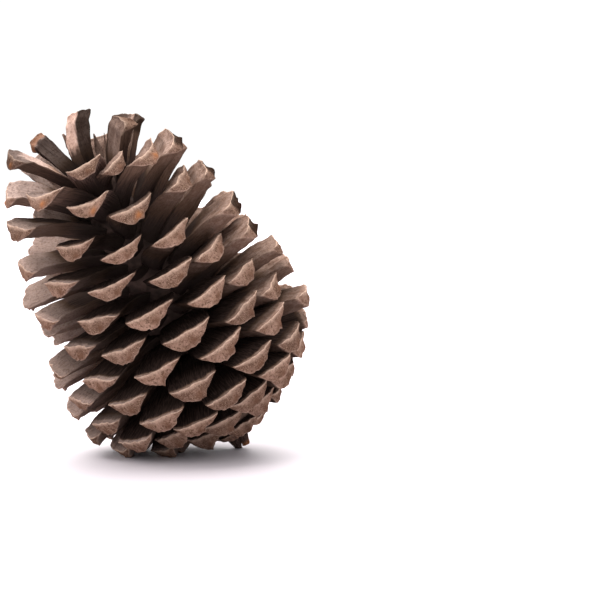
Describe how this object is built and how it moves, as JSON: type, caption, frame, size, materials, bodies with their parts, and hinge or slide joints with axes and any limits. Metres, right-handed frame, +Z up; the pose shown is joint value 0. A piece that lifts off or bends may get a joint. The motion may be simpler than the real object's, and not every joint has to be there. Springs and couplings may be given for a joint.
{
  "type": "pine cone",
  "caption": "Open, dry pine cone leaning on its packed base, with thick keeled scales splayed in spirals round a woody axis and a short broken stalk underneath.",
  "frame": {"origin": "on the table under the middle of the cone as it lies", "axes": "+Z up from the table, -Y towards the side shown in front, +X to the right; the cone's own axis rises to the left and a little to the front"},
  "size_m": [0.0722, 0.068, 0.0838],
  "materials": {
    "cone": "dry matt wood, greyish tan on the scale ends and dark brown between the scales"
  },
  "bodies": {
    "root": {"cone": "cone"}
  },
  "joints": []
}
